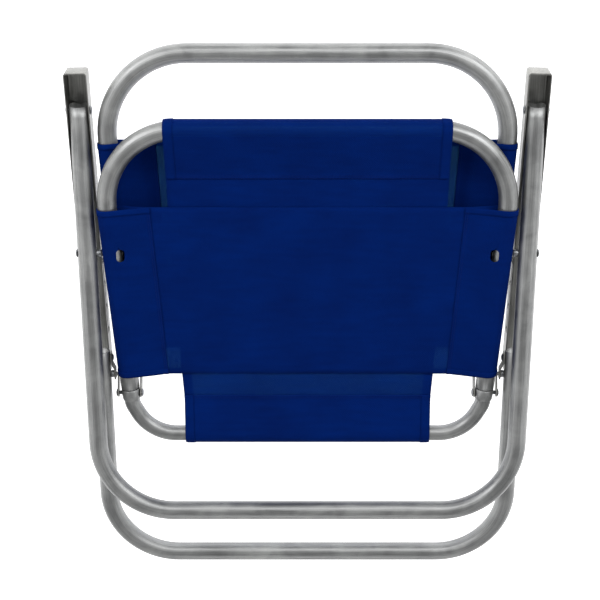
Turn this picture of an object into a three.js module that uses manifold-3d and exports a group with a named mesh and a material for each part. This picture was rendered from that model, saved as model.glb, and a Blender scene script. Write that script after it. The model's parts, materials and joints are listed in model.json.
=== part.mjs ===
// A folding beach chair of bent aluminium tube with fabric slings, folded flat and lying on its back.
// Millimetres. X runs across the chair, Y towards the top of the backrest, Z up from what it lies on.
import * as THREE from "three";
import { mergeVertices } from "three/addons/utils/BufferGeometryUtils.js";
import Module from "manifold-3d";

const wasm = await Module();
wasm.setup();

// Tube stock
const frameTube = 22.2; // outer diameter of the four main bows
const frameWall = 1.2;
const fit = 0.4; // gap between pieces that touch on the real chair
const bowTube = frameTube - 2 * frameWall - 2 * fit; // the seat's rear bow slides into the seat tube
const bowWall = 1.2;
const tubeSides = 16;
const arcStep = THREE.MathUtils.degToRad(13);

// Heights of the folded layers
const armrestHeight = 22;
const armrestWall = 1.2;
const backHeight = frameTube / 2 + 1.5; // tube axis of the backrest
const armPivotHeight = frameTube / 2 + armrestWall + 0.9;
const seatHeight = 38; // tube axis of the seat
const rearPivotHeight = seatHeight - 2;

// Pivots, along Y
const hingeY = -106.5; // backrest to seat
const armPivotY = 238; // armrest to front leg
const legPivotY = 74.5; // front leg to seat
const rearPivotY = -82; // rear leg to seat

// Backrest
const backTopY = 302; // axis of the top bar
const backEndY = -72; // cut ends of its legs
const backHingeHalf = 216.2; // half width between tube axes at the hinge
const backTaper = 0.0417; // half width gained for each mm along Y
const backBend = 94;
const backFabricTop = 206;
const backFabricBottom = -58;

// Seat
const seatFrontY = 221;
const seatEndY = -98.6;
const seatHingeHalf = 215.8;
const seatTaper = 0.0616;
const seatBend = 86;
const crossFrontY = 132; // the wide panel between the side tubes
const crossRearY = -79;
const stripFrontHalf = 158; // the long strip from front bar to rear bow
const stripRearHalf = 150;
const fabricThick = 2;
const fabricEdgeGap = 3.4; // from a seat slab to the tube that carries it
const backFabricEdgeGap = 8.6; // leaves room for the hinge lugs and their rivets

// Rear bow of the seat
const bowStartY = -76;
const bowKneeY = -121;
const bowBarY = -162.5;
const bowKneeAngle = THREE.MathUtils.degToRad(27);
const bowKneeBend = 24;
const bowBend = 52;
const collarLength = 15;
const collarChamfer = 4; // length over which the collar closes down
const collarDrop = 0.9;

// Front leg
const frontLegHalf = 257; // half width between tube axes at its pivot on the seat
const frontLegSplay = 0.0149;
const frontLegReach = 322; // pivot to ground bar
const frontLegBend = 90;
const frontLegTip = 6.5; // square cut end, past the arm pivot
const frontLegSweep = armPivotHeight - armrestWall - 0.3; // radius that the tips keep to on the web's side
const frontSpacerGap = 1.6; // seat tube flank to spacer

// Rear leg
const rearLegHalf = 250;
const rearLegReach = 246.6;
const rearLegStub = 30; // tube that stands past the pivot
const rearLegTilt = THREE.MathUtils.degToRad(3);
const rearLegBend = 86;

// Armrest channels
const armrestWidth = frameTube + 4;
const armrestCorner = 3.2;
const armrestFront = 46; // from the arm pivot to the closed front end
const armrestEndWall = 2; // thickness of the front end
const armrestEndCorner = 3.4;
const armrestEndLean = 0.13; // how far the front end leans back for each mm of height
const armrestRear = 323; // from the arm pivot to the open rear end
const notchCount = 4;
const notchPitch = 30;
const notchRadius = 3.6;

// Rivets, pins and flat bars
const rivetShank = 4.8; // diameter
const rivetHole = 5.8;
const rivetHead = 10;
const rivetHeadHeight = 1.8;
const rivetShoulder = 0.75; // share of the head's radius where its dome turns
const rivetShoulderHeight = 0.7;
const rivetSides = 10;
const pinTipGap = 0.6; // pin tip to armrest wall
const spacerOuter = 9;
const spacerInner = 6;
const lugThick = 1.8;
const lugWidth = 11;
const lugGap = 0.8; // lug to tube flank
const lugRivetY = -52;
const braceThick = 1.6;
const braceHeight = 10;
const braceGap = 4.6; // seat tube flank to brace
const braceRivetInset = 9; // from the leg's upper end
const braceEndMargin = 6; // metal past a rivet's centre
const braceTopInset = 2;
const braceElbow = 7; // straight length past the pivot
const braceBendStep = 0.5; // keeps the bar as thick through its bends

const tubeRadius = frameTube / 2;
const roundSides = 12; // sides of spacers and of the holes' cutting bars
const slope = Math.atan2(seatHeight - armPivotHeight, armPivotY - legPivotY); // rise of the front leg
const armLink = Math.hypot(armPivotY - legPivotY, seatHeight - armPivotHeight);

const aluminium = () =>
  new THREE.MeshStandardMaterial({ color: 0xb9bcc0, metalness: 1, roughness: 0.35 });
const plainSteel = () =>
  new THREE.MeshStandardMaterial({ color: 0x8c8f93, metalness: 1, roughness: 0.4 });
const canvas = () =>
  new THREE.MeshStandardMaterial({ color: 0x0b2058, metalness: 0, roughness: 0.8 });

const chair = new THREE.Group();

function toSolid(geometry) {
  const bare = geometry.index ? geometry.toNonIndexed() : geometry.clone();
  for (const name of Object.keys(bare.attributes)) {
    if (name !== "position") bare.deleteAttribute(name);
  }
  const merged = mergeVertices(bare, 1e-4);
  return new wasm.Manifold(
    new wasm.Mesh({
      numProp: 3,
      vertProperties: merged.attributes.position.array,
      triVerts: new Uint32Array(merged.index.array),
    }),
  );
}

function toGeometry(solid) {
  const mesh = solid.getMesh();
  const geometry = new THREE.BufferGeometry();
  geometry.setAttribute("position", new THREE.BufferAttribute(mesh.vertProperties, 3));
  geometry.setIndex(new THREE.BufferAttribute(mesh.triVerts, 1));
  geometry.computeVertexNormals();
  return geometry;
}

function cut(geometry, tools) {
  return toGeometry(tools.reduce((left, tool) => left.subtract(toSolid(tool)), toSolid(geometry)));
}

function add(group, name, geometry, material) {
  const mesh = new THREE.Mesh(geometry, material);
  mesh.name = name;
  group.add(mesh);
  return mesh;
}

// The points of a route in the XY plane whose inner corners are rounded: [x, y, bend radius].
function roundedRoute(corners) {
  const points = [new THREE.Vector3(corners[0][0], corners[0][1], 0)];
  for (let i = 1; i < corners.length - 1; i++) {
    const at = new THREE.Vector3(corners[i][0], corners[i][1], 0);
    const back = new THREE.Vector3(corners[i - 1][0], corners[i - 1][1], 0).sub(at).normalize();
    const on = new THREE.Vector3(corners[i + 1][0], corners[i + 1][1], 0).sub(at).normalize();
    const turn = Math.PI - back.angleTo(on);
    const radius = corners[i][2];
    const start = at.clone().addScaledVector(back, radius * Math.tan(turn / 2));
    const middle = back.clone().add(on).normalize();
    const centre = at.clone().addScaledVector(middle, radius / Math.cos(turn / 2));
    const side = Math.sign(back.x * on.y - back.y * on.x);
    const steps = Math.ceil(turn / arcStep);
    const arm = start.sub(centre);
    const axis = new THREE.Vector3(0, 0, -side);
    for (let k = 0; k <= steps; k++) {
      points.push(arm.clone().applyAxisAngle(axis, (turn * k) / steps).add(centre));
    }
  }
  const last = corners[corners.length - 1];
  points.push(new THREE.Vector3(last[0], last[1], 0));
  return points;
}

// A curve whose parameter steps evenly from point to point, so no station falls beside a bend's end.
class Route extends THREE.Curve {
  constructor(points) {
    super();
    this.points = points;
  }
  getPoint(t, target = new THREE.Vector3()) {
    const place = THREE.MathUtils.clamp(t, 0, 1) * (this.points.length - 1);
    const i = Math.min(Math.floor(place), this.points.length - 2);
    return target.lerpVectors(this.points[i], this.points[i + 1], place - i);
  }
  getUtoTmapping(u) {
    return u;
  }
}

function bentTube(corners, outer, wall) {
  const route = new Route(roundedRoute(corners));
  const ring = new THREE.Shape().absarc(0, 0, outer / 2, 0, 2 * Math.PI);
  ring.holes.push(new THREE.Path().absarc(0, 0, outer / 2 - wall, 0, 2 * Math.PI, true));
  return new THREE.ExtrudeGeometry(ring, {
    extrudePath: route,
    steps: route.points.length - 1,
    curveSegments: tubeSides / 2, // a full circle gets two sides for each
  });
}

// A round bar along X.
function crossBar(diameter, x0, x1, y, z, sides = roundSides) {
  return new THREE.CylinderGeometry(diameter / 2, diameter / 2, Math.abs(x1 - x0), sides)
    .rotateZ(Math.PI / 2)
    .translate((x0 + x1) / 2, y, z);
}

// A rivet along X with a domed head at each end, whose heads bear at x0 and x1.
function rivet(x0, x1, y, z) {
  const low = Math.min(x0, x1);
  const high = Math.max(x0, x1);
  const head = rivetHead / 2;
  const profile = [
    [0, low - rivetHeadHeight],
    [head * rivetShoulder, low - rivetHeadHeight * rivetShoulderHeight],
    [head, low],
    [rivetShank / 2, low],
    [rivetShank / 2, high],
    [head, high],
    [head * rivetShoulder, high + rivetHeadHeight * rivetShoulderHeight],
    [0, high + rivetHeadHeight],
  ];
  return new THREE.LatheGeometry(profile.map(([r, h]) => new THREE.Vector2(r, h)), rivetSides)
    .rotateZ(-Math.PI / 2)
    .translate(0, y, z);
}

// A short tube along X.
function ringBar(outer, inner, x0, x1, y, z) {
  const low = Math.min(x0, x1);
  const high = Math.max(x0, x1);
  const profile = [
    [inner / 2, low],
    [outer / 2, low],
    [outer / 2, high],
    [inner / 2, high],
    [inner / 2, low],
  ];
  return new THREE.LatheGeometry(profile.map(([r, h]) => new THREE.Vector2(r, h)), roundSides)
    .rotateZ(-Math.PI / 2)
    .translate(0, y, z);
}

function slab(outline, thick, z) {
  const shape = new THREE.Shape(outline.map(([x, y]) => new THREE.Vector2(x, y)));
  return new THREE.ExtrudeGeometry(shape, { depth: thick, bevelEnabled: false }).translate(
    0,
    0,
    z - thick / 2,
  );
}

// A flat bar with round ends in a YZ plane, from one hole to the other, its near face at x.
function flatBar(x, thick, width, from, to) {
  const length = Math.hypot(to[0] - from[0], to[1] - from[1]);
  const shape = new THREE.Shape();
  shape.absarc(0, 0, width / 2, Math.PI / 2, 1.5 * Math.PI);
  shape.absarc(length, 0, width / 2, -Math.PI / 2, Math.PI / 2);
  for (const at of [0, length]) {
    shape.holes.push(new THREE.Path().absarc(at, 0, rivetHole / 2, 0, 2 * Math.PI, true));
  }
  return new THREE.ExtrudeGeometry(shape, { depth: thick, bevelEnabled: false, curveSegments: 6 })
    .rotateX(Math.PI / 2)
    .rotateZ(Math.PI / 2)
    .rotateX(Math.atan2(to[1] - from[1], to[0] - from[0]))
    .translate(x, from[0], from[1]);
}

const backHalf = (y) => backHingeHalf + backTaper * (y - hingeY);
const seatHalf = (y) => seatHingeHalf + seatTaper * (y - hingeY);
const sides = [
  ["left", -1],
  ["right", 1],
];

// A closed quadrilateral from one Y to another, as wide as half(y) on each side.
function symmetric(half, y0, y1) {
  return [
    [-half(y0), y0],
    [half(y0), y0],
    [half(y1), y1],
    [-half(y1), y1],
  ];
}

function buildBackrest() {
  const pinY = hingeY + (armPivotY - legPivotY); // the pin makes a parallelogram with the leg pivots
  const pinZ = armPivotHeight;
  const route = [
    [-backHalf(backEndY), backEndY],
    [-backHalf(backTopY), backTopY, backBend],
    [backHalf(backTopY), backTopY, backBend],
    [backHalf(backEndY), backEndY],
  ];
  const tube = bentTube(route, frameTube, frameWall).translate(0, 0, backHeight);
  const wide = backHalf(backTopY) + frameTube;
  const holes = [
    crossBar(rivetHole, -wide, wide, lugRivetY, backHeight),
    crossBar(rivetHole, -wide, wide, pinY, pinZ),
  ];
  add(chair, "backrest_tube", cut(tube, holes), aluminium());
  const fabricHalf = (y) => backHalf(y) - tubeRadius - backFabricEdgeGap;
  const panel = slab(symmetric(fabricHalf, backFabricBottom, backFabricTop), fabricThick, backHeight);
  add(chair, "backrest_fabric", panel, canvas());

  const pivot = [hingeY, seatHeight];
  const root = [lugRivetY, backHeight];
  const lugSeat = backHalf(lugRivetY) - backHingeHalf; // widening of the tube up to the lug rivet
  const near = backHingeHalf - tubeRadius - lugGap; // inboard face line of the inner lug
  const far = backHingeHalf + lugSeat + tubeRadius + lugGap - fit;
  for (const [side, sign] of sides) {
    const innerX = sign > 0 ? near - lugThick : -near;
    const outerX = sign > 0 ? far : -far - lugThick;
    add(chair, `hinge_lug_inner_${side}`, flatBar(innerX, lugThick, lugWidth, pivot, root), aluminium());
    add(chair, `hinge_lug_outer_${side}`, flatBar(outerX, lugThick, lugWidth, pivot, root), aluminium());
    const inner = sign * (near - lugThick - fit);
    const outer = sign * (far + lugThick + fit);
    add(chair, `hinge_rivet_${side}`, rivet(inner, outer, ...pivot), plainSteel());
    add(chair, `lug_rivet_${side}`, rivet(inner, outer, ...root), plainSteel());
    const pinInner = sign * (backHalf(pinY) - tubeRadius - fit);
    const armHalf = frontLegHalf + frontLegSplay * armLink - frontLegSplay * (armPivotY - pinY);
    const pinTip = sign * (armHalf - armrestWidth / 2 - rivetHeadHeight - pinTipGap);
    add(chair, `recline_pin_${side}`, rivet(pinInner, pinTip, pinY, pinZ), plainSteel());
  }
}

function buildSeat() {
  const route = [
    [-seatHalf(seatEndY), seatEndY],
    [-seatHalf(seatFrontY), seatFrontY, seatBend],
    [seatHalf(seatFrontY), seatFrontY, seatBend],
    [seatHalf(seatEndY), seatEndY],
  ];
  const wide = seatHalf(seatFrontY) + frameTube;
  const tube = bentTube(route, frameTube, frameWall).translate(0, 0, seatHeight);
  const holes = [
    crossBar(rivetHole, -wide, wide, legPivotY, seatHeight),
    crossBar(rivetHole, -wide, wide, rearPivotY, rearPivotHeight),
  ];
  add(chair, "seat_tube", cut(tube, holes), aluminium());

  const kneeHalf = seatHalf(bowKneeY);
  const barHalf = kneeHalf - (bowKneeY - bowBarY) * Math.tan(bowKneeAngle);
  const bowRoute = [
    [-seatHalf(bowStartY), bowStartY],
    [-kneeHalf, bowKneeY, bowKneeBend],
    [-barHalf, bowBarY, bowBend],
    [barHalf, bowBarY, bowBend],
    [kneeHalf, bowKneeY, bowKneeBend],
    [seatHalf(bowStartY), bowStartY],
  ];
  const bow = bentTube(bowRoute, bowTube, bowWall).translate(0, 0, seatHeight);
  const bowHoles = [
    crossBar(rivetHole, -wide, wide, hingeY, seatHeight),
    crossBar(rivetHole, -wide, wide, rearPivotY, rearPivotHeight),
  ];
  add(chair, "seat_rear_bow", cut(bow, bowHoles), aluminium());

  const crossHalf = (y) => seatHalf(y) - tubeRadius - fabricEdgeGap;
  const crossZ = seatHeight + fabricThick / 2 + fit;
  const cross = slab(symmetric(crossHalf, crossRearY, crossFrontY), fabricThick, crossZ);
  add(chair, "seat_cross_panel", cross, canvas());
  const stripFront = seatFrontY - tubeRadius - fabricEdgeGap;
  const stripRear = bowBarY + bowTube / 2 + fit;
  const stripHalf = (y) =>
    THREE.MathUtils.mapLinear(y, stripRear, stripFront, stripRearHalf, stripFrontHalf);
  const stripZ = seatHeight - fabricThick / 2;
  add(chair, "seat_strip", slab(symmetric(stripHalf, stripRear, stripFront), fabricThick, stripZ), canvas());

  for (const [side, sign] of sides) {
    const inner = bowTube / 2 + fit;
    const outer = tubeRadius;
    const profile = [
      [inner, 0],
      [outer, 0],
      [outer, collarLength - collarChamfer],
      [outer - collarDrop, collarLength],
      [inner, collarLength],
      [inner, 0],
    ];
    const ring = new THREE.LatheGeometry(
      profile.map(([r, h]) => new THREE.Vector2(r, -h)).reverse(),
      tubeSides,
    )
      .rotateZ(-sign * Math.atan(seatTaper))
      .translate(sign * seatHalf(seatEndY - fit), seatEndY - fit, seatHeight);
    const hole = crossBar(rivetHole, -wide, wide, hingeY, seatHeight);
    add(chair, `hinge_collar_${side}`, cut(ring, [hole]), aluminium());
  }
}

function buildFrontLeg() {
  const leg = new THREE.Group();
  leg.position.set(0, legPivotY, seatHeight);
  leg.rotation.x = -slope;
  chair.add(leg);
  const half = (y) => frontLegHalf + frontLegSplay * y;
  const tip = armLink + frontLegTip;
  const route = [
    [-half(tip), tip],
    [-half(-frontLegReach), -frontLegReach, frontLegBend],
    [half(-frontLegReach), -frontLegReach, frontLegBend],
    [half(tip), tip],
  ];
  const wide = half(tip) + frameTube;
  const tube = cut(bentTube(route, frameTube, frameWall), [
    crossBar(rivetHole, -wide, wide, 0, 0),
    crossBar(rivetHole, -wide, wide, armLink, 0),
  ]);
  // The top ends are eased below the arm pivot, so they clear the armrest's web as it turns.
  const lower = new THREE.BoxGeometry(2 * wide, frameTube, frameTube);
  lower.translate(0, armLink + tubeRadius, -tubeRadius);
  const sweep = crossBar(2 * frontLegSweep, -wide - 1, wide + 1, armLink, 0, 2 * tubeSides);
  add(leg, "front_leg_tube", cut(tube, [cut(lower, [sweep])]), aluminium());
  for (const [side, sign] of sides) {
    const seatInner = seatHalf(legPivotY) - tubeRadius - fit;
    const legOuter = half(0) + tubeRadius + fit;
    add(leg, `front_leg_rivet_${side}`, rivet(sign * seatInner, sign * legOuter, 0, 0), plainSteel());
    const spacerFrom = sign * (seatHalf(legPivotY) + tubeRadius + frontSpacerGap);
    const spacerTo = sign * (half(0) - tubeRadius - fit);
    const spacer = ringBar(spacerOuter, spacerInner, spacerFrom, spacerTo, 0, 0);
    add(leg, `front_leg_spacer_${side}`, spacer, plainSteel());
    const armHalf = half(armLink);
    const armInner = armHalf - armrestWidth / 2 - fit;
    const armOuter = armHalf + armrestWidth / 2 + fit;
    add(leg, `arm_rivet_${side}`, rivet(sign * armInner, sign * armOuter, armLink, 0), plainSteel());
  }
}

// A long bar along Y, its two lower edges rounded and its front end rounded in plan and leaning back.
function armrestBar(half, low, high, edge, front, corner, rear) {
  const section = new THREE.Shape();
  section.moveTo(-half, high);
  section.lineTo(-half, low + edge);
  section.absarc(-half + edge, low + edge, edge, Math.PI, 1.5 * Math.PI);
  section.absarc(half - edge, low + edge, edge, -Math.PI / 2, 0);
  section.lineTo(half, high);
  const length = front + rear;
  const bar = new THREE.ExtrudeGeometry(section, { depth: length, bevelEnabled: false, curveSegments: 3 })
    .rotateX(Math.PI / 2)
    .translate(0, front, 0);
  const plan = new THREE.Shape();
  plan.moveTo(-half - 1, -2 * armrestRear);
  plan.lineTo(half + 1, -2 * armrestRear);
  plan.lineTo(half + 1, front - corner - 1);
  plan.lineTo(half, front - corner);
  plan.absarc(half - corner, front - corner, corner, 0, Math.PI / 2);
  plan.absarc(-half + corner, front - corner, corner, Math.PI / 2, Math.PI);
  plan.lineTo(-half - 1, front - corner - 1);
  const lean = new THREE.Matrix4().makeShear(0, 0, 0, 0, 0, -armrestEndLean);
  const trim = new THREE.ExtrudeGeometry(plan, {
    depth: high - low + 2,
    bevelEnabled: false,
    curveSegments: 3,
  })
    .translate(0, 0, -1)
    .applyMatrix4(lean)
    .translate(0, 0, low);
  return toSolid(bar).intersect(toSolid(trim));
}

function buildArmrests() {
  const centre = frontLegHalf + frontLegSplay * armLink;
  const base = -armPivotHeight;
  const rim = armrestHeight - armPivotHeight;
  const half = armrestWidth / 2;
  const edge = armrestCorner;
  const inside = [
    half - armrestWall,
    base + armrestWall,
    rim + 1,
    edge - armrestWall,
    armrestFront - armrestEndWall,
    armrestEndCorner - armrestWall,
    armrestRear + 1,
  ];
  const shell = armrestBar(half, base, rim, edge, armrestFront, armrestEndCorner, armrestRear);
  const channel = toGeometry(shell.subtract(armrestBar(...inside)));
  for (const [side, sign] of sides) {
    const innerWall = -sign * (half - armrestWall / 2);
    const reach = armrestWall * 1.5;
    const tools = [crossBar(rivetHole, -half - 1, half + 1, 0, 0)];
    const firstNotch = -(legPivotY - hingeY);
    for (let i = 0; i < notchCount; i++) {
      const y = firstNotch - i * notchPitch;
      tools.push(crossBar(2 * notchRadius, innerWall - reach, innerWall + reach, y, 0));
    }
    const slotLength = (notchCount - 1) * notchPitch + 2 * notchRadius;
    tools.push(
      new THREE.BoxGeometry(2 * reach, slotLength, notchRadius).translate(
        innerWall,
        firstNotch - ((notchCount - 1) * notchPitch) / 2,
        notchRadius,
      ),
    );
    const arm = add(chair, `armrest_${side}`, cut(channel, tools), aluminium());
    arm.position.set(sign * centre, armPivotY, armPivotHeight);
    arm.rotation.z = -sign * frontLegSplay;
  }
}

function buildRearLeg() {
  const leg = new THREE.Group();
  leg.position.set(0, rearPivotY, rearPivotHeight);
  leg.rotation.x = -rearLegTilt;
  chair.add(leg);
  const braceRivetY = rearLegStub - braceRivetInset;
  const route = [
    [-rearLegHalf, rearLegStub],
    [-rearLegHalf, -rearLegReach, rearLegBend],
    [rearLegHalf, -rearLegReach, rearLegBend],
    [rearLegHalf, rearLegStub],
  ];
  const wide = rearLegHalf + frameTube;
  const tube = cut(bentTube(route, frameTube, frameWall), [
    crossBar(rivetHole, -wide, wide, 0, 0),
    crossBar(rivetHole, -wide, wide, braceRivetY, 0),
  ]);
  add(leg, "rear_leg_tube", tube, aluminium());
  const seatFlank = seatHalf(rearPivotY) + tubeRadius;
  const legFlank = rearLegHalf - tubeRadius;
  const near = seatFlank + braceGap; // brace face next to the seat tube
  const far = legFlank - fit - braceThick; // brace face at the leg, on the seat's side
  for (const [side, sign] of sides) {
    const seatInner = seatHalf(rearPivotY) - tubeRadius - fit;
    const legOuter = rearLegHalf + tubeRadius + fit;
    add(leg, `rear_leg_rivet_${side}`, rivet(sign * seatInner, sign * legOuter, 0, 0), plainSteel());
    const spacerFrom = sign * (near + braceThick + fit);
    const spacer = ringBar(spacerOuter, spacerInner, spacerFrom, sign * (legFlank - fit), 0, 0);
    add(leg, `rear_leg_spacer_${side}`, spacer, plainSteel());
    const top = rearLegStub - braceTopInset;
    const outline = [
      [near, -braceEndMargin],
      [near + braceThick, -braceEndMargin],
      [near + braceThick, braceElbow],
      [far + braceThick, braceRivetY - braceEndMargin],
      [far + braceThick, top],
      [far, top],
      [far, braceRivetY - braceEndMargin + braceBendStep],
      [near, braceElbow + braceBendStep],
    ].map(([x, y]) => [sign * x, y]);
    const strip = slab(sign > 0 ? outline : outline.reverse(), braceHeight, 0);
    const brace = cut(strip, [
      crossBar(rivetHole, -wide, wide, 0, 0),
      crossBar(rivetHole, -wide, wide, braceRivetY, 0),
    ]);
    add(leg, `rear_leg_brace_${side}`, brace, aluminium());
    const braceInner = sign * (far - fit);
    add(leg, `brace_rivet_${side}`, rivet(braceInner, sign * legOuter, braceRivetY, 0), plainSteel());
  }
}

buildBackrest();
buildSeat();
buildFrontLeg();
buildArmrests();
buildRearLeg();

// The origin is the middle of the folded chair's footprint, on the face that it lies on.
const farEnd = rearPivotY - rearLegReach * Math.cos(rearLegTilt) - tubeRadius;
const nearEnd = backTopY + tubeRadius;
chair.position.set(0, -(farEnd + nearEnd) / 2, 0);

export default chair;
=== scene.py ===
import json
import math

import bpy
import bmesh
from mathutils import Matrix, Vector, noise


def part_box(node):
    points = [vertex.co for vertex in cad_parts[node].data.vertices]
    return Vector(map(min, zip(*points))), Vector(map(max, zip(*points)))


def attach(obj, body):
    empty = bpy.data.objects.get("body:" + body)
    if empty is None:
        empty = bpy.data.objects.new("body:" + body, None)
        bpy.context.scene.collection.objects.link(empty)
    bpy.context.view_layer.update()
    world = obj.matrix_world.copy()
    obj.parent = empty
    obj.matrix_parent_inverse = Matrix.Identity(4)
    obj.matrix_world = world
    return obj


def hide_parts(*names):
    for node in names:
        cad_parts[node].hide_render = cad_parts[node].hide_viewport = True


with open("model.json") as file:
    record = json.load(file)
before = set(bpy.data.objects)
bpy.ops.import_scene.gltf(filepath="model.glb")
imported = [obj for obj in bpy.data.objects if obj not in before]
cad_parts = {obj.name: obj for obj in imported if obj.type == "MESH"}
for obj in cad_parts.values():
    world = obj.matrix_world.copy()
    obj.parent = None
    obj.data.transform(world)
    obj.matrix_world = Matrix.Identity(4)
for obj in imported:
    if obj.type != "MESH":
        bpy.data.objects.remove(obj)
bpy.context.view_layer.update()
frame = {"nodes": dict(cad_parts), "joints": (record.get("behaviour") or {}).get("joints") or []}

mm = 0.001
pivots = {joint["name"]: Vector(joint["pos_m"]) for joint in frame["joints"]}
hinge = pivots["seat_fold"]
legPivot = pivots["front_leg_fold"]
armPivot = pivots["armrest_fold_left"]
rearPivot = pivots["rear_leg_fold"]
sides = (("left", -1), ("right", 1))


# colours are typed as sRGB hex, the shader wants linear
def hexColour(text):
    def linear(part):
        value = int(part, 16) / 255
        return value / 12.92 if value <= 0.04045 else ((value + 0.055) / 1.055) ** 2.4

    return (linear(text[0:2]), linear(text[2:4]), linear(text[4:6]), 1.0)


# one node: settings are its own properties, inputs are values or (node, output name) links
def addNode(tree, kind, inputs=None, **settings):
    node = tree.nodes.new(kind)
    for key, value in settings.items():
        setattr(node, key, value)
    for key, value in (inputs or {}).items():
        if isinstance(value, tuple) and isinstance(value[0], bpy.types.Node):
            tree.links.new(value[0].outputs[value[1]], node.inputs[key])
        else:
            node.inputs[key].default_value = value
    return node


def newMaterial(name):
    material = bpy.data.materials.new(name)
    material.use_nodes = True
    material.node_tree.nodes.clear()
    return material, material.node_tree


def ramp(tree, source, stops):
    node = addNode(tree, "ShaderNodeValToRGB", {"Fac": source})
    elements = node.color_ramp.elements
    while len(elements) < len(stops):
        elements.new(0.5)
    for element, (position, colour) in zip(elements, stops):
        element.position = position
        element.color = colour
    return node


# drawn aluminium: the die leaves long fine lines, handling leaves dull patches, so the gloss breaks up
def drawnAluminium(name, values):
    material, tree = newMaterial(name)
    position = addNode(tree, "ShaderNodeTexCoord")
    lines = addNode(tree, "ShaderNodeMapping", {"Vector": (position, values["coordinates"]),
                                                "Scale": values["lineScale"]})
    die = addNode(tree, "ShaderNodeTexNoise", {"Vector": (lines, "Vector"), "Scale": 1.0, "Detail": 4.0,
                                               "Roughness": 0.6})
    patches = addNode(tree, "ShaderNodeTexNoise", {"Vector": (position, "Object"),
                                                   "Scale": 1 / (values["patchSize"] * mm), "Detail": 3.0,
                                                   "Roughness": 0.55, "Distortion": 0.6})
    specks = addNode(tree, "ShaderNodeTexNoise", {"Vector": (position, "Object"),
                                                  "Scale": 1 / (values["speckSize"] * mm), "Detail": 2.0})
    mixed = addNode(tree, "ShaderNodeMix", {"Factor": 0.5, "A": (die, "Fac"), "B": (patches, "Fac")},
                    data_type="FLOAT")
    tone = ramp(tree, (mixed, "Result"), [(0.34, hexColour(values["dark"])),
                                          (0.5, hexColour(values["mid"])),
                                          (0.66, hexColour(values["light"]))])
    speckTone = addNode(tree, "ShaderNodeMapRange", {"Value": (specks, "Fac"),
                                                     "From Min": values["speckRange"][0],
                                                     "From Max": values["speckRange"][1],
                                                     "To Min": 0.0, "To Max": values["speckShare"]})
    colour = addNode(tree, "ShaderNodeMix", {"Factor": (speckTone, "Result"), "A": (tone, "Color"),
                                             "B": hexColour(values["speck"])}, data_type="RGBA")
    gloss = addNode(tree, "ShaderNodeMapRange", {"Value": (patches, "Fac"),
                                                 "From Min": values["glossRange"][0],
                                                 "From Max": values["glossRange"][1],
                                                 "To Min": values["roughness"][0],
                                                 "To Max": values["roughness"][1]})
    bump = addNode(tree, "ShaderNodeBump", {"Height": (die, "Fac"), "Strength": values["bump"],
                                            "Distance": values["bumpDepth"] * mm})
    shader = addNode(tree, "ShaderNodeBsdfPrincipled", {"Base Color": (colour, "Result"), "Metallic": 1.0,
                                                        "Roughness": (gloss, "Result"),
                                                        "Normal": (bump, "Normal")})
    addNode(tree, "ShaderNodeOutputMaterial", {"Surface": (shader, "BSDF")})
    return material


tubeFinish = {
    "coordinates": "UV",
    "lineScale": (14, 900, 1),  # along the tube, then round it: lines about a millimetre apart
    "patchSize": 38,
    "speckSize": 1.6,
    "dark": "838484",
    "mid": "9C9D9D",
    "light": "B4B5B4",
    "speck": "6A6A69",
    "speckRange": (0.62, 0.72),  # the noise band where a speck starts and is full
    "speckShare": 0.25,
    "roughness": (0.4, 0.56),
    "glossRange": (0.3, 0.7),
    "bump": 0.3,
    "bumpDepth": 0.04,
}
channelFinish = dict(tubeFinish, coordinates="Object", lineScale=(700, 12, 700), dark="7C7C79",
                     mid="949491", light="B0B0AC", roughness=(0.32, 0.46))
rivetFinish = dict(tubeFinish, coordinates="Object", lineScale=(500, 500, 500), dark="6E7073", mid="8B8D90",
                   light="A6A8AA", patchSize=4, speckSize=0.8, roughness=(0.36, 0.5), bump=0.4)
tubeAluminium = drawnAluminium("aluminium tube drawn satin", tubeFinish)
channelAluminium = drawnAluminium("aluminium channel extruded", channelFinish)
rivetAluminium = drawnAluminium("aluminium rivet tumbled", rivetFinish)


# PVC coated polyester mesh, woven: a matt navy net, which lets light through its holes where it is single
fabricFinish = {
    "threadPitch": 2.2,  # mm, drawn coarser than the real 1.2 so that the weave shows
    "base": "001E62",
    "shade": "001A5A",
    "lift": "00226B",
    "gapTint": "7CABC6",  # daylight through the gaps between threads, tinted by their edges
    "gap": (0.74, 0.86),  # where a thread crossing's wave opens into a gap
    "slub": (25, 160, 1),  # thicker threads, 40 mm long and 6 mm apart
    "cloud": 14.0,
    "roughness": 0.75,
    "sheen": 0.02,
    "sheenTint": "2A4FA8",
    "gloss": 0.04,
    "bump": 0.35,
    "bumpDepth": 0.3,
}


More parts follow.
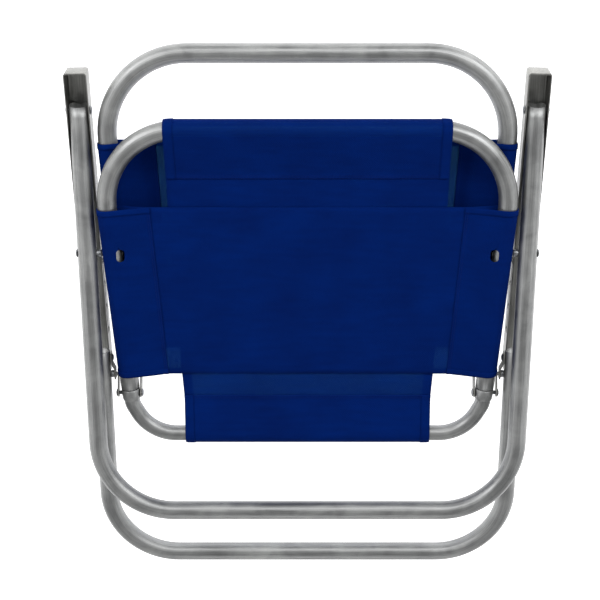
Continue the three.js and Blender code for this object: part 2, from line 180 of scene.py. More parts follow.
def wovenMesh(name, values):
    material, tree = newMaterial(name)
    position = addNode(tree, "ShaderNodeTexCoord")
    split = addNode(tree, "ShaderNodeSeparateXYZ", {"Vector": (position, "UV")})
    turn = 2 * math.pi / (values["threadPitch"] * mm)

    def waveOf(axis):
        angle = addNode(tree, "ShaderNodeMath", {0: (split, axis), 1: turn}, operation="MULTIPLY")
        return addNode(tree, "ShaderNodeMath", {0: (angle, "Value")}, operation="SINE")

    across, along = waveOf("X"), waveOf("Y")
    weave = addNode(tree, "ShaderNodeMath", {0: (across, "Value"), 1: (along, "Value")},
                    operation="MULTIPLY")
    slub = addNode(tree, "ShaderNodeMapping", {"Vector": (position, "UV"), "Scale": values["slub"]})
    slubNoise = addNode(tree, "ShaderNodeTexNoise", {"Vector": (slub, "Vector"), "Scale": 1.0,
                                                     "Detail": 2.0})
    cloud = addNode(tree, "ShaderNodeTexNoise", {"Vector": (position, "UV"), "Scale": values["cloud"],
                                                 "Detail": 2.0, "Roughness": 0.5})
    tone = addNode(tree, "ShaderNodeMix", {"Factor": 0.6, "A": (slubNoise, "Fac"), "B": (cloud, "Fac")},
                   data_type="FLOAT")
    colour = ramp(tree, (tone, "Result"), [(0.3, hexColour(values["shade"])),
                                           (0.5, hexColour(values["base"])),
                                           (0.7, hexColour(values["lift"]))])
    crossing = addNode(tree, "ShaderNodeMath", {0: (weave, "Value")}, operation="ABSOLUTE")
    gap = addNode(tree, "ShaderNodeMapRange", {"Value": (crossing, "Value"), "From Min": values["gap"][0],
                                               "From Max": values["gap"][1]})
    rough = addNode(tree, "ShaderNodeMapRange", {"Value": (tone, "Result"), "To Min": values["roughness"],
                                                 "To Max": values["roughness"] + 0.2})
    bump = addNode(tree, "ShaderNodeBump", {"Height": (weave, "Value"), "Strength": values["bump"],
                                            "Distance": values["bumpDepth"] * mm})
    shader = addNode(tree, "ShaderNodeBsdfPrincipled", {"Base Color": (colour, "Color"),
                                                        "Roughness": (rough, "Result"),
                                                        "Sheen Weight": values["sheen"],
                                                        "Sheen Roughness": 0.5,
                                                        "Sheen Tint": hexColour(values["sheenTint"]),
                                                        "Specular IOR Level": values["gloss"],
                                                        "Normal": (bump, "Normal")})
    daylight = addNode(tree, "ShaderNodeBsdfTransparent", {"Color": hexColour(values["gapTint"])})
    cloth = addNode(tree, "ShaderNodeMixShader", {0: (gap, "Result"), 1: (shader, "BSDF"),
                                                  2: (daylight, "BSDF")})
    addNode(tree, "ShaderNodeOutputMaterial", {"Surface": (cloth, "Shader")})
    return material


slingFabric = wovenMesh("polyester mesh PVC coated woven", fabricFinish)


# bonded polyester thread: tight twist, a little brighter than the cloth
threadFinish = {"twist": 1500.0, "dark": "05175C", "light": "0A2270", "roughness": 0.6, "gloss": 0.1,
                "bump": 0.4, "bumpDepth": 0.1}


def threadMaterial(values):
    material, tree = newMaterial("polyester thread twisted")
    position = addNode(tree, "ShaderNodeTexCoord")
    twist = addNode(tree, "ShaderNodeTexNoise", {"Vector": (position, "Object"),
                                                 "Scale": values["twist"], "Detail": 2.0})
    colour = ramp(tree, (twist, "Fac"), [(0.35, hexColour(values["dark"])),
                                         (0.65, hexColour(values["light"]))])
    bump = addNode(tree, "ShaderNodeBump", {"Height": (twist, "Fac"), "Strength": values["bump"],
                                            "Distance": values["bumpDepth"] * mm})
    shader = addNode(tree, "ShaderNodeBsdfPrincipled", {"Base Color": (colour, "Color"),
                                                        "Roughness": values["roughness"],
                                                        "Specular IOR Level": values["gloss"],
                                                        "Normal": (bump, "Normal")})
    addNode(tree, "ShaderNodeOutputMaterial", {"Surface": (shader, "BSDF")})
    return material


thread = threadMaterial(threadFinish)
print("materials made")


def makeObject(name, points, faces, material, uvs=None, smooth=True):
    mesh = bpy.data.meshes.new(name)
    mesh.from_pydata([tuple(p) for p in points], [], faces)
    if uvs:
        layer = mesh.uv_layers.new(name="flat")
        for loop in mesh.loops:
            layer.data[loop.index].uv = uvs[loop.vertex_index]
    for polygon in mesh.polygons:
        polygon.use_smooth = smooth
    piece = bpy.data.objects.new(name, mesh)
    bpy.context.scene.collection.objects.link(piece)
    mesh.materials.append(material)
    return piece


# turns every face of a closed piece outward, after merging points closer than merge
def faceOut(piece, merge=0):
    mesh = bmesh.new()
    mesh.from_mesh(piece.data)
    if merge:
        bmesh.ops.remove_doubles(mesh, verts=mesh.verts, dist=merge)
    bmesh.ops.recalc_face_normals(mesh, faces=mesh.faces)
    mesh.to_mesh(piece.data)
    mesh.free()
    return piece


def applyModifiers(piece):
    graph = bpy.context.evaluated_depsgraph_get()
    mesh = bpy.data.meshes.new_from_object(piece.evaluated_get(graph))
    piece.modifiers.clear()
    piece.data = mesh
    return piece


def place(piece, body, slot, *nodes):
    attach(piece, body)
    if nodes:
        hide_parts(*nodes)
    return piece


# a route through corners (x, y, bend radius) in mm, its bends true arcs
def roundedRoute(corners, arcStep=4, straightStep=18):
    route = [Vector(corners[0][:2])]

    def straightTo(end):
        start = route[-1].copy()
        count = max(1, round((end - start).length / straightStep))
        route.extend(start.lerp(end, k / count) for k in range(1, count + 1))

    for i in range(1, len(corners) - 1):
        at = Vector(corners[i][:2])
        back = (Vector(corners[i - 1][:2]) - at).normalized()
        on = (Vector(corners[i + 1][:2]) - at).normalized()
        turn = math.pi - back.angle(on)
        radius = corners[i][2]
        straightTo(at + back * radius * math.tan(turn / 2))
        centre = at + (back + on).normalized() * radius / math.cos(turn / 2)
        arm = route[-1] - centre
        spin = -math.copysign(1, back.x * on.y - back.y * on.x)
        count = math.ceil(math.degrees(turn) / arcStep)
        for k in range(1, count + 1):
            angle = spin * turn * k / count
            cosine, sine = math.cos(angle), math.sin(angle)
            route.append(centre + Vector((arm.x * cosine - arm.y * sine, arm.x * sine + arm.y * cosine)))
    straightTo(Vector(corners[-1][:2]))
    return route


# a hollow tube along a flat route, its two cut ends open and slightly rounded off
def bentTube(name, corners, outer, wall, matrix, ring=44, rounding=0.35):
    route = roundedRoute(corners)
    across = []
    for i, at in enumerate(route):
        ahead = (route[min(i + 1, len(route) - 1)] - route[max(i - 1, 0)]).normalized()
        across.append(Vector((-ahead.y, ahead.x)))
    first = (route[1] - route[0]).normalized()
    last = (route[-1] - route[-2]).normalized()
    stations = []  # centre, sideways direction, radius, length so far
    length = 0
    outside = []
    for i, at in enumerate(route):
        if i:
            length += (at - route[i - 1]).length
        outside.append((at, across[i], outer / 2, length))
    head, tail = outside[0], outside[-1]
    stations.append((head[0], head[1], outer / 2 - rounding, 0))
    outside[0] = (head[0] + first * rounding, head[1], outer / 2, rounding)
    outside[-1] = (tail[0] - last * rounding, tail[1], outer / 2, length - rounding)
    stations += outside
    stations.append((tail[0], tail[1], outer / 2 - rounding, length))
    stations += [(s[0], s[1], outer / 2 - wall, s[3]) for s in (tail, *reversed(outside[1:-1]), head)]
    points, uvs, faces = [], [], []
    for at, sideways, radius, along in stations:
        for k in range(ring):
            angle = 2 * math.pi * k / ring
            flat = at + sideways * radius * math.cos(angle)
            points.append(matrix @ (Vector((flat.x, flat.y, radius * math.sin(angle))) * mm))
            uvs.append((along * mm, outer / 2 * abs(angle - math.pi) * mm))
    count = len(stations)
    for s in range(count):
        for k in range(ring):
            a, b = s * ring, ((s + 1) % count) * ring
            faces.append((a + k, b + k, b + (k + 1) % ring, a + (k + 1) % ring))
    return faceOut(makeObject(name, points, faces, tubeAluminium, uvs))


# turns a profile of (radius, place) in mm round an axis through at
def turned(name, profile, matrix, material, ring=36):
    points, faces = [], []
    rows = len(profile)
    for radius, along in profile:
        for k in range(ring):
            angle = 2 * math.pi * k / ring
            spot = Vector((along, radius * math.cos(angle), radius * math.sin(angle))) * mm
            points.append(matrix @ spot)
    for row in range(rows - 1):
        for k in range(ring):
            a, b = row * ring, (row + 1) * ring
            faces.append((a + k, a + (k + 1) % ring, b + (k + 1) % ring, b + k))
    return faceOut(makeObject(name, points, faces, material), merge=0.002 * mm)


stock = {"tube": 22.2, "wall": 1.2, "bowTube": 19, "bowWall": 1.2}
hingeY, hingeZ = hinge.y / mm, hinge.z / mm

backrest = {
    "top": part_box("backrest_tube")[1].y / mm - stock["tube"] / 2,
    "end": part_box("backrest_tube")[0].y / mm,
    "height": 12.6,
    "hingeHalf": 216.2,
    "taper": 0.0417,
    "bend": 94,
}


def backHalf(y):
    return backrest["hingeHalf"] + backrest["taper"] * (y - hingeY)


seat = {
    "front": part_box("seat_tube")[1].y / mm - stock["tube"] / 2,
    "end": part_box("seat_tube")[0].y / mm,
    "height": hingeZ,
    "hingeHalf": 215.8,
    "taper": 0.0616,
    "bend": 86,
}


def seatHalf(y):
    return seat["hingeHalf"] + seat["taper"] * (y - hingeY)


def bowCorners(values, half):
    end, top = values["end"], values.get("front", values.get("top"))
    return [(-half(end), end), (-half(top), top, values["bend"]), (half(top), top, values["bend"]),
            (half(end), end)]


def lift(height):
    return Matrix.Translation((0, 0, height * mm))


place(bentTube("backrest_frame", bowCorners(backrest, backHalf), stock["tube"], stock["wall"],
               lift(backrest["height"])), "backrest", "tube", "backrest_tube")
place(bentTube("seat_frame", bowCorners(seat, seatHalf), stock["tube"], stock["wall"],
               lift(seat["height"])), "seat", "tube", "seat_tube")

rearBow = {
    "start": hingeY + 30.5,
    "knee": hingeY - 14.5,
    "bar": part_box("seat_rear_bow")[0].y / mm + stock["bowTube"] / 2,
    "kneeAngle": math.radians(27),
    "kneeBend": 24,
    "bend": 52,
}
kneeHalf = seatHalf(rearBow["knee"])
barHalf = kneeHalf - (rearBow["knee"] - rearBow["bar"]) * math.tan(rearBow["kneeAngle"])
startHalf = seatHalf(rearBow["start"])
rearRoute = [(-startHalf, rearBow["start"]), (-kneeHalf, rearBow["knee"], rearBow["kneeBend"]),
             (-barHalf, rearBow["bar"], rearBow["bend"]), (barHalf, rearBow["bar"], rearBow["bend"]),
             (kneeHalf, rearBow["knee"], rearBow["kneeBend"]), (startHalf, rearBow["start"])]
place(bentTube("rear_bow", rearRoute, stock["bowTube"], stock["bowWall"], lift(seat["height"])),
      "seat", "tube", "seat_rear_bow")

armLink = (armPivot - legPivot).length / mm
frontLeg = {
    "half": 257,
    "splay": 0.0149,
    "reach": 322,
    "bend": 90,
    "tip": armLink + 8.5,
    "cut": 5.7,  # the saw cut's middle, past the arm pivot
    "cutLean": 0.25,
    "sweep": 11.7,
    "tilt": math.atan2(legPivot.z - armPivot.z, armPivot.y - legPivot.y),
}
rearLeg = {"half": 250, "reach": 246.6, "stub": 30, "bend": 86, "tilt": math.radians(3)}


def legMatrix(pivot, tilt):
    return Matrix.Translation((0, pivot.y, pivot.z)) @ Matrix.Rotation(-tilt, 4, "X")


def frontHalf(y):
    return frontLeg["half"] + frontLeg["splay"] * y


frontRoute = [(-frontHalf(frontLeg["tip"]), frontLeg["tip"]),
              (-frontHalf(-frontLeg["reach"]), -frontLeg["reach"], frontLeg["bend"]),
              (frontHalf(-frontLeg["reach"]), -frontLeg["reach"], frontLeg["bend"]),
              (frontHalf(frontLeg["tip"]), frontLeg["tip"])]
frontPiece = bentTube("front_leg", frontRoute, stock["tube"], stock["wall"],
                      legMatrix(legPivot, frontLeg["tilt"]))


# the leg's top ends are sawn at a slight angle and eased below, clear of the armrest's web as it turns
def easeTips(piece, matrix):
    inverse = matrix.inverted()
    for vertex in piece.data.vertices:
        local = inverse @ vertex.co / mm
        if local.y > armLink - 1:
            limit = frontLeg["cut"] - frontLeg["cutLean"] * local.z
            if local.z < 0:
                limit = min(limit, math.sqrt(frontLeg["sweep"] ** 2 - local.z ** 2))
            local.y = min(local.y, armLink + limit)
            vertex.co = matrix @ (local * mm)


easeTips(frontPiece, legMatrix(legPivot, frontLeg["tilt"]))
place(frontPiece, "front_leg", "tube", "front_leg_tube")
rearRouteLeg = [(-rearLeg["half"], rearLeg["stub"]), (-rearLeg["half"], -rearLeg["reach"], rearLeg["bend"]),
                (rearLeg["half"], -rearLeg["reach"], rearLeg["bend"]), (rearLeg["half"], rearLeg["stub"])]
place(bentTube("rear_leg", rearRouteLeg, stock["tube"], stock["wall"],
               legMatrix(rearPivot, rearLeg["tilt"])), "rear_leg", "tube", "rear_leg_tube")
print("tubes bent")

rivets = {"headHeight": 1.8, "shank": 2.4, "rim": 0.25, "rimInset": 0.2, "domeSteps": 8}
spacer = {"bore": 3, "corner": 0.4}


# a rivet along X with two domed heads, sized from its node's box
def domedRivet(node, body):
    low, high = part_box(node)
    radius = (high.y - low.y) / 2 / mm
    reach = (high.x - low.x) / 2 / mm - rivets["headHeight"]
    profile = [(0.001, -reach - rivets["headHeight"])]
    for k in range(1, rivets["domeSteps"]):
        angle = math.pi / 2 * k / rivets["domeSteps"]
        profile.append((radius * math.sin(angle), -reach - rivets["headHeight"] * math.cos(angle)))
    profile += [(radius, -reach - rivets["rim"]), (radius - rivets["rimInset"], -reach),
                (rivets["shank"], -reach)]
    profile += [(r, -x) for r, x in reversed(profile)]
    centre = Matrix.Translation((low + high) / 2)
    place(turned(node + "_domed", profile, centre, rivetAluminium), body, "fastener", node)


def smoothSpacer(node, body):
    low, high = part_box(node)
    reach = (high.x - low.x) / 2 / mm
    outer, inner, soft = (high.y - low.y) / 2 / mm, spacer["bore"], spacer["corner"]
    profile = [(inner, -reach), (outer - soft, -reach), (outer, soft - reach), (outer, reach - soft),
               (outer - soft, reach), (inner, reach), (inner, -reach)]
    centre = Matrix.Translation((low + high) / 2)
    place(turned(node + "_turned", profile, centre, rivetAluminium), body, "fastener", node)


rivetBodies = {"hinge_rivet": "backrest", "lug_rivet": "backrest", "recline_pin": "backrest",
               "front_leg_rivet": "front_leg", "arm_rivet": "front_leg", "rear_leg_rivet": "rear_leg",
               "brace_rivet": "rear_leg"}
for side, _ in sides:
    for rivetName, body in rivetBodies.items():
        domedRivet(f"{rivetName}_{side}", body)
    smoothSpacer(f"front_leg_spacer_{side}", "front_leg")
    smoothSpacer(f"rear_leg_spacer_{side}", "rear_leg")
print("rivets turned")

# the collar swells behind the seat tube's cut end and closes down on the thinner bow
collar = {
    "length": 15,
    "straight": 8.5,
    "outer": 11.1,
    "inner": 9.75,
    "clear": 1.1,  # behind the seat tube's end
    "chamfer": 0.6,
    "lip": 0.7,
    "edge": 0.3,
    "steps": 8,
}
for side, sign in sides:
    start = seat["end"] - collar["clear"]
    drop = collar["outer"] - collar["inner"] - collar["edge"]
    taperLength = collar["length"] - collar["straight"] - collar["lip"]
    profile = [(collar["inner"], 0), (collar["outer"] - collar["chamfer"], 0),
               (collar["outer"], collar["lip"]), (collar["outer"], collar["straight"])]
    for k in range(1, collar["steps"] + 1):
        angle = math.pi / 2 * k / collar["steps"]
        closing = collar["straight"] + taperLength * math.sin(angle)
        profile.append((collar["outer"] - drop * (1 - math.cos(angle)), closing))
    profile += [(collar["inner"], collar["length"] - collar["lip"]), (collar["inner"], 0)]
    axis = Matrix.Translation(Vector((sign * seatHalf(start), start, seat["height"])) * mm)
    axis = axis @ Matrix.Rotation(-math.pi / 2 - sign * math.atan(seat["taper"]), 4, "Z")
    node = f"hinge_collar_{side}"
    place(turned(node + "_swaged", profile, axis, tubeAluminium, 48), "seat", "tube", node)


# degrees: a bend under flat is taken out of the mesh, one over sharp gets a broken edge
edges = {"merge": 0.01, "flat": 1, "sharp": 38, "segments": 2}


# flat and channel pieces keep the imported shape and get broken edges
def softEdged(node, body, width):
    source = frame["nodes"][node]
    mesh = source.data.copy()
    piece = bpy.data.objects.new(node + "_finished", mesh)
    bpy.context.scene.collection.objects.link(piece)
    clean = bmesh.new()
    clean.from_mesh(mesh)
    bmesh.ops.remove_doubles(clean, verts=clean.verts, dist=edges["merge"] * mm)
    bmesh.ops.dissolve_limit(clean, angle_limit=math.radians(edges["flat"]), verts=clean.verts,
                             edges=clean.edges)
    clean.to_mesh(mesh)
    clean.free()
    mesh.materials.clear()
    mesh.materials.append(channelAluminium)
    for polygon in mesh.polygons:
        polygon.use_smooth = True
    bevel = piece.modifiers.new("broken edge", "BEVEL")
    bevel.width = width * mm
    bevel.segments = edges["segments"]
    bevel.limit_method = "ANGLE"
    bevel.angle_limit = math.radians(edges["sharp"])
    bevel.harden_normals = True
    return place(piece, body, "tube", node)


edgeWidths = {"armrest": 0.4, "lug": 0.3, "brace": 0.2}
for side, _ in sides:
    softEdged(f"armrest_{side}", f"armrest_{side}", edgeWidths["armrest"])
    softEdged(f"hinge_lug_inner_{side}", "backrest", edgeWidths["lug"])
    softEdged(f"hinge_lug_outer_{side}", "backrest", edgeWidths["lug"])
    softEdged(f"rear_leg_brace_{side}", "rear_leg", edgeWidths["brace"])
print("flat pieces finished")

cloth = {"thickness": 0.6, "gap": 0.35, "rowStep": 6}
layerRise = cloth["thickness"] * 0.75  # each of a sleeve's two layers lies this far off its middle
foldRise = cloth["thickness"] * 1.1  # a hem's fold, off the layer it is sewn to
wrap = stock["tube"] / 2 + cloth["gap"] + cloth["thickness"] / 2
# points along each stretch of a sling's section
counts = {"hem": 3, "upper": 9, "bend": 18, "lower": 9, "middle": 16}


# across the chair: from one hem over its tube, under, and on to the other side; (x, z) in mm
def slingSection(half, seam, hem, height, out=0.0):
    radius = wrap + out
    reach = half - seam
    lean = math.asin(min(1, radius / reach))
    lay = layerRise + out
    right = []
    for k in range(counts["hem"]):
        right.append((seam - hem * (1 - k / counts["hem"]), height + lay))
    touch = (half - radius * math.sin(lean), height + radius * math.cos(lean))
    for k in range(counts["upper"]):
        share = k / counts["upper"]
        right.append((seam + (touch[0] - seam) * share, height + lay + (touch[1] - height - lay) * share))
    turnFrom, turnTo = math.pi / 2 + lean, -math.pi / 2 - lean
    for k in range(counts["bend"] + 1):
        angle = turnFrom + (turnTo - turnFrom) * k / counts["bend"]
        right.append((half + radius * math.cos(angle), height + radius * math.sin(angle)))
    for k in range(1, counts["lower"] + 1):
        share = 1 - k / counts["lower"]
        right.append((seam + (touch[0] - seam) * share, height - lay - (touch[1] - height - lay) * share))
    for k in range(1, counts["middle"] + 1):
        right.append((seam * (1 - k / counts["middle"]), height - lay))
    left = [(-x, z) for x, z in reversed(right[:-1])]
    return right + left


# lays rows of points as one cloth with a flat UV in metres
def clothFrom(name, rows, lengths):
    points, uvs, faces = [], [], []
    width = len(rows[0])
    for row, along in zip(rows, lengths):
        far = 0
        for k, spot in enumerate(row):
            if k:
                far += (spot - row[k - 1]).length
            points.append(spot * mm)
            uvs.append((far * mm, along * mm))
    for r in range(len(rows) - 1):
        for k in range(width - 1):
            a = r * width + k
            faces.append((a, a + 1, a + width + 1, a + width))
    piece = makeObject(name, points, faces, slingFabric, uvs)
    solid = piece.modifiers.new("thickness", "SOLIDIFY")
    solid.thickness = cloth["thickness"] * mm
    solid.offset = 0
    return piece


def ripple(x, y, scale, seed):
    return noise.noise(Vector((x / scale, y / scale, seed)))


backSling = {
    "top": hingeY + 309.5,
    "bottom": hingeY + 48.5,
    "sleeve": 61.4,
    "hem": 5,
    "fold": 7,
    "droop": 3.5,
    "hollow": 1.0,
    "lift": 0.0,
    "seed": 3.0,
}
crossPanel = {
    "front": hingeY + 237,
    "rear": hingeY + 25.3,
    "sleeve": 55.5,
    "hem": 5,
    "fold": 7,
    "droop": 2,
    "hollow": 0.6,
    "lift": 0.9,  # over the long strip where they cross
    "seed": 8.0,
}
pucker = {"broad": 60, "broadDepth": 1.1, "fine": 20, "fineDepth": 0.3, "fadeFrom": 30, "fadeOver": 16}


# a sling between two side tubes; its upper edge droops a little over the tubes, both edges are hemmed
def sideSling(name, values, half, height, start, end):
    rows, lengths = [], []
    count = round((end - start) / cloth["rowStep"])
    hollow, droop, seed = values["hollow"], values["droop"], values["seed"]
    stations = [(start + values["fold"] * (1 - k / 3), foldRise) for k in range(3)]
    stations.append((start - 0.1, foldRise / 2))
    stations += [(start + (end - start) * r / count, 0.0) for r in range(count + 1)]
    stations.append((end + 0.1, foldRise / 2))
    stations += [(end - values["fold"] * k / 3, foldRise) for k in range(1, 4)]
    far = 0
    for i, (y, out) in enumerate(stations):
        share = (y - start) / (end - start)
        far += abs(y - stations[i - 1][0]) if i else 0
        row = []
        seam = half(y) - values["sleeve"] + wrap
        for x, z in slingSection(half(y), seam, values["hem"], height + values["lift"], out):
            outward = min(1, abs(x) / (half(y) + wrap))
            edge = (2 * share - 1) ** 3 * hollow * (1 - outward ** 2) + droop * share ** 6 * outward ** 6
            onTube = min(1, max(0, (abs(x) - half(y) + pucker["fadeFrom"]) / pucker["fadeOver"]))
            broad = ripple(x, y, pucker["broad"], seed) * pucker["broadDepth"]
            fine = ripple(x * 2, y, pucker["fine"], seed + 4) * pucker["fineDepth"]
            row.append(Vector((x, y - edge, z + (broad + fine) * (1 - onTube))))
        rows.append(row)
        lengths.append(far)
    return clothFrom(name, rows, lengths)


backPiece = sideSling("back_sling", backSling, backHalf, backrest["height"], backSling["bottom"],
                      backSling["top"])
place(backPiece, "backrest", "fabric", "backrest_fabric")
crossPiece = sideSling("seat_cross_sling", crossPanel, seatHalf, seat["height"], crossPanel["rear"],
                       crossPanel["front"])

strip = {
    "halves": ((-70, 150), (-10, 150.4), (28, 152.6), (241, 161), (340, 161.7)),  # from the hinge line
    "frontSleeve": 52,
    "rearSleeve": 47,
    "hem": 5,
    "sideHem": 11,
    "frontSlack": 0.45,
    "rearSlack": 1.8,  # the rear sleeve hangs a little loose on its thinner bar
    "drop": 0.9,  # under the cross panel where they cross
    "looseFrom": 14,
    "looseOver": 20,
    "middle": 40,
    "across": 48,
}
stripPucker = {"broad": 55, "broadDepth": 0.9, "fine": 18, "fineDepth": 0.25}


def stripHalf(y):
    places = strip["halves"]
    along = min(max(y - hingeY, places[0][0]), places[-1][0])
    for (low, a), (high, b) in zip(places, places[1:]):
        if along <= high:
            return a + (b - a) * (along - low) / (high - low)
    return places[-1][1]


# the long strip: its ends wrap the front bar and the rear bow and come back to a sewn hem
def seatStrip():
    frontY, rearY = seat["front"], rearBow["bar"]
    frontWrap = stock["tube"] / 2 + strip["frontSlack"] + cloth["thickness"] / 2
    rearWrap = stock["bowTube"] / 2 + strip["rearSlack"] + cloth["thickness"] / 2
    height = seat["height"] - strip["drop"]
    lay = layerRise

    def sleeveEnd(barY, direction, radius, sleeve):
        seam = barY - direction * sleeve
        lean = math.asin(radius / sleeve)
        touch = Vector((barY - direction * radius * math.sin(lean), height + radius * math.cos(lean)))
        points = [Vector((seam - direction * strip["hem"] * (1 - k / counts["hem"]), height + lay))
                  for k in range(counts["hem"])]
        points += [Vector((seam, height + lay)).lerp(touch, k / 8) for k in range(8)]
        for k in range(counts["bend"] + 1):
            angle = math.pi / 2 + lean - (math.pi + 2 * lean) * k / counts["bend"]
            outTo = direction * radius * math.cos(angle)
            points.append(Vector((barY + outTo, height + radius * math.sin(angle))))
        low = points[-1]
        points += [low.lerp(Vector((seam, height - lay)), k / 8) for k in range(1, 9)]
        return points

    front = sleeveEnd(frontY, 1, frontWrap, strip["frontSleeve"])
    rear = sleeveEnd(rearY, -1, rearWrap, strip["rearSleeve"])
    middle = [front[-1].lerp(rear[-1], k / strip["middle"]) for k in range(1, strip["middle"])]
    route = front + middle + list(reversed(rear))
    rows, lengths, far = [], [], 0
    for i, spot in enumerate(route):
        if i:
            far += (spot - route[i - 1]).length
        half = stripHalf(spot.x)
        ahead = (route[min(i + 1, len(route) - 1)] - route[max(i - 1, 0)]).normalized()
        outward = Vector((-ahead.y, ahead.x))  # away from the bar that the cloth goes round
        nearBar = min(abs(spot.x - frontY), abs(spot.x - rearY))
        loose = min(1, max(0, (nearBar - strip["looseFrom"]) / strip["looseOver"]))
        row = []
        for side in (-1, 1):
            fold = []
            for k in range(4):  # the sewn side hem, folded to the outer face
                fold.append((side * (half - strip["sideHem"] * (1 - k / 4)), foldRise))
            fold.append((side * (half + 0.1), cloth["thickness"] * 0.6))
            if side < 0:
                row += fold
                row += [(half * (2 * k / strip["across"] - 1), 0.0) for k in range(strip["across"] + 1)]
            else:
                row += reversed(fold)
        points = []
        bendStart = seatHalf(seat["front"]) - seat["bend"]
        onFront = max(0, 1 - abs(spot.x - frontY) / strip["frontSleeve"])
        for x, out in row:
            # the sleeve follows the front bar's bend
            corner = max(0, abs(x) - bendStart) ** 2 / (2 * seat["bend"]) * onFront
            broad = ripple(x, spot.x, stripPucker["broad"], 13.0) * stripPucker["broadDepth"]
            fine = ripple(x, spot.x * 2, stripPucker["fine"], 17.0) * stripPucker["fineDepth"]
            points.append(Vector((x, spot.x + outward.x * out - corner,
                                  spot.y + outward.y * out + (broad + fine) * loose)))
        rows.append(points)
        lengths.append(far)
    return clothFrom("seat_strip_sling", rows, lengths), lengths[-1]


stripPiece, stripLength = seatStrip()
place(stripPiece, "seat", "fabric", "seat_strip")

# slots in the cross panel's sleeves leave the front leg rivets' inner heads free
cutOut = {"width": 9.5, "length": 15, "inboard": 1.0, "from": 1.5, "to": 20, "ring": 24}
applyModifiers(crossPiece)
for side, sign in sides:
    middleX = sign * (seatHalf(legPivot.y / mm) - stock["tube"] / 2 + cutOut["inboard"])
    points, faces = [], []
    ring = cutOut["ring"]
    for level in (seat["height"] + cutOut["from"], seat["height"] + cutOut["to"]):
        for k in range(ring):
            angle = 2 * math.pi * k / ring
            stretch = (cutOut["length"] - cutOut["width"]) / 2 * math.copysign(1, math.sin(angle + 0.001))
            points.append(Vector((middleX + cutOut["width"] / 2 * math.cos(angle),
                                  legPivot.y / mm + cutOut["width"] / 2 * math.sin(angle) + stretch,
                                  level)) * mm)
    faces.append(tuple(range(ring)))
    faces.append(tuple(range(ring, 2 * ring)))
    for k in range(ring):
        faces.append((k, (k + 1) % ring, ring + (k + 1) % ring, ring + k))
    cutter = faceOut(makeObject("slot_tool", points, faces, slingFabric))
    difference = crossPiece.modifiers.new("slot", "BOOLEAN")
    difference.operation = "DIFFERENCE"
    difference.solver = "EXACT"
    difference.object = cutter
    applyModifiers(crossPiece)
    bpy.data.objects.remove(cutter)
place(crossPiece, "seat", "fabric", "seat_cross_panel")
print("slings laid")


# lockstitch rows: each stitch a small bead of thread, its two ends pulled down into the cloth
stitches = {
    "length": 2.6,
    "pitch": 3.6,
    "width": 0.55,
    "ring": 6,
    "rise": 0.12,
    "dip": 0.3,
    "rows": (1.5, 4.0),  # two rows, this far in from the seam
    # place along, share of the width
    "shape": ((-0.5, 0.25), (-0.3, 0.9), (0, 1.0), (0.3, 0.9), (0.5, 0.25)),
}


def stitchRow(mesh, start, end, normal):
    line = end - start
    count = int(line.length / stitches["pitch"])
    ahead = line.normalized()
    sideways = ahead.cross(normal).normalized()
    for k in range(count):
        centre = start + ahead * (k + 0.5) * stitches["pitch"]
        ringPoints = []
        for along, size in stitches["shape"]:
            ring = []
            for j in range(stitches["ring"]):
                angle = 2 * math.pi * j / stitches["ring"]
                radius = stitches["width"] / 2 * size
                spot = centre + ahead * along * stitches["length"] + sideways * radius * math.cos(angle)
                rise = radius * math.sin(angle) + stitches["rise"] - stitches["dip"] * (2 * along) ** 2
                spot = spot + normal * rise
                ring.append(mesh.verts.new(spot * mm))
            ringPoints.append(ring)
        for a, b in zip(ringPoints, ringPoints[1:]):
            for j in range(stitches["ring"]):
                following = (j + 1) % stitches["ring"]
                mesh.faces.new((a[j], a[following], b[following], b[j]))
        mesh.faces.new(reversed(ringPoints[0]))
        mesh.faces.new(ringPoints[-1])


def stitching(name, rows, body):
    mesh = bmesh.new()
    for start, end in rows:
        stitchRow(mesh, start, end, Vector((0, 0, 1)))
    bmesh.ops.recalc_face_normals(mesh, faces=mesh.faces)
    data = bpy.data.meshes.new(name)
    mesh.to_mesh(data)
    mesh.free()
    for polygon in data.polygons:
        polygon.use_smooth = True
    data.materials.append(thread)
    piece = bpy.data.objects.new(name, data)
    bpy.context.scene.collection.objects.link(piece)
    place(piece, body, "fabric")


def sideSeams(values, half, height, start, end):
    top = height + cloth["thickness"] * 1.5 + 0.1
    rows = []
    for sign in (-1, 1):
        for inset in stitches["rows"]:
            ends = []
            for y in (start + 2, end - 2):
                ends.append(Vector((sign * (half(y) - values["sleeve"] + wrap - inset), y, top)))
            rows.append(tuple(ends))
    return rows


stitching("back_stitching", sideSeams(backSling, backHalf, backrest["height"], backSling["bottom"],
                                      backSling["top"]), "backrest")
stitching("cross_stitching", sideSeams(crossPanel, seatHalf, seat["height"] + crossPanel["lift"],
                                       crossPanel["rear"], crossPanel["front"]), "seat")
stripTop = seat["height"] - strip["drop"] + cloth["thickness"] * 1.5 + 0.1
stripRows = []
for inset in stitches["rows"]:
    for y, half in ((seat["front"] - strip["frontSleeve"] - inset, stripHalf(seat["front"]) - 2),
                    (rearBow["bar"] + strip["rearSleeve"] + inset, stripHalf(rearBow["bar"]) - 2)):
        stripRows.append((Vector((-half, y, stripTop)), Vector((half, y, stripTop))))
stitching("strip_stitching", stripRows, "seat")
print("stitching sewn")

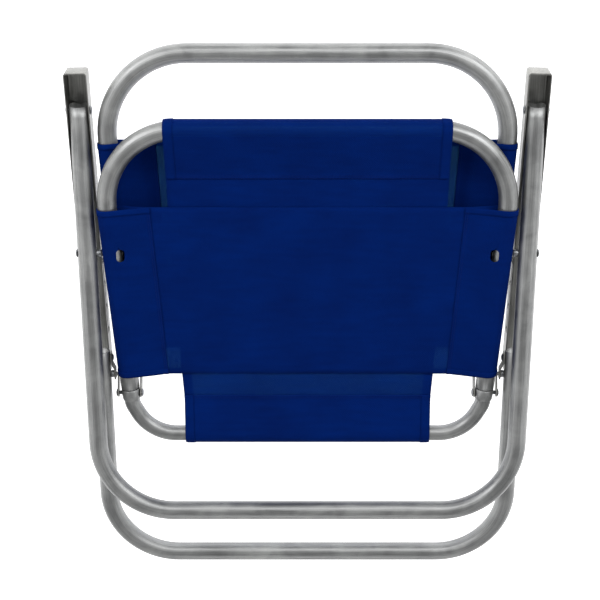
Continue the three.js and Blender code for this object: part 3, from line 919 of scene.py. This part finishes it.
# the floor lies lower than the chair's back, so the unfolded armrests and rear leg stay above it
floor = {
    "drop": 150,
    "size": 40,  # metres
    "glow": 0.86,  # its own light, which brings the paper out white and hides most shadows
    "grain": 900.0,
}
floorMaterial, tree = newMaterial("paper backdrop matt")
grain = addNode(tree, "ShaderNodeTexNoise", {"Scale": floor["grain"], "Detail": 3.0})
paper = ramp(tree, (grain, "Fac"), [(0.3, hexColour("F4F4F4")), (0.7, hexColour("FAFAFA"))])
paperShader = addNode(tree, "ShaderNodeBsdfPrincipled", {"Base Color": (paper, "Color"), "Roughness": 0.9,
                                                         "Specular IOR Level": 0.1,
                                                         "Emission Color": (1.0, 1.0, 1.0, 1.0),
                                                         "Emission Strength": floor["glow"]})
addNode(tree, "ShaderNodeOutputMaterial", {"Surface": (paperShader, "BSDF")})
half = floor["size"] / 2
floorPiece = makeObject("studio_floor", [Vector((x, y, -floor["drop"] * mm)) for x, y in
                                         ((-half, -half), (half, -half), (half, half), (-half, half))],
                        [(0, 1, 2, 3)], floorMaterial, smooth=False)

sky = {"grey": 0.8, "strength": 0.45}
world = bpy.data.worlds.new("studio")
bpy.context.scene.world = world
world.use_nodes = True
background = world.node_tree.nodes["Background"]
background.inputs["Color"].default_value = (sky["grey"], sky["grey"], sky["grey"], 1)
background.inputs["Strength"].default_value = sky["strength"]


def softBox(name, location, size, power):
    data = bpy.data.lights.new(name, "AREA")
    data.shape = "RECTANGLE"
    data.size, data.size_y = size
    data.energy = power
    lamp = bpy.data.objects.new(name, data)
    bpy.context.scene.collection.objects.link(lamp)
    lamp.location = location
    lamp.rotation_euler = (-Vector(location)).to_track_quat("-Z", "Y").to_euler()


# name, place in metres, width and height in metres, watts: all face the chair's middle
softBoxes = (
    ("key", (0.2, 1.9, 1.7), (1.6, 0.8), 15),
    ("left", (-1.5, 1.35, 1.2), (0.7, 1.1), 20),
    ("right", (1.5, 1.35, 1.2), (0.7, 1.1), 20),
    ("left side", (-2.0, -0.5, 1.2), (0.9, 1.4), 6),
    ("right side", (2.0, -0.5, 1.2), (0.9, 1.4), 6),
    ("rear", (0.0, -2.0, 1.2), (1.6, 0.8), 6),
)
for boxName, location, size, power in softBoxes:
    softBox(boxName, location, size, power)

bpy.context.scene.view_settings.view_transform = "Standard"  # the default curve greys the backdrop

view = {"lens": 71.04, "distance": 1.445, "tilt": math.radians(22), "aimY": 0.01313, "shift": -0.0125}
camera = bpy.data.objects.new("camera", bpy.data.cameras.new("camera"))
bpy.context.scene.collection.objects.link(camera)
camera.data.lens = view["lens"]
camera.data.shift_x = view["shift"]
camera.location = (0, view["aimY"] + view["distance"] * math.sin(view["tilt"]),
                   view["distance"] * math.cos(view["tilt"]))
camera.rotation_euler = (-view["tilt"], 0, 0)
bpy.context.scene.camera = camera
print("stage set")
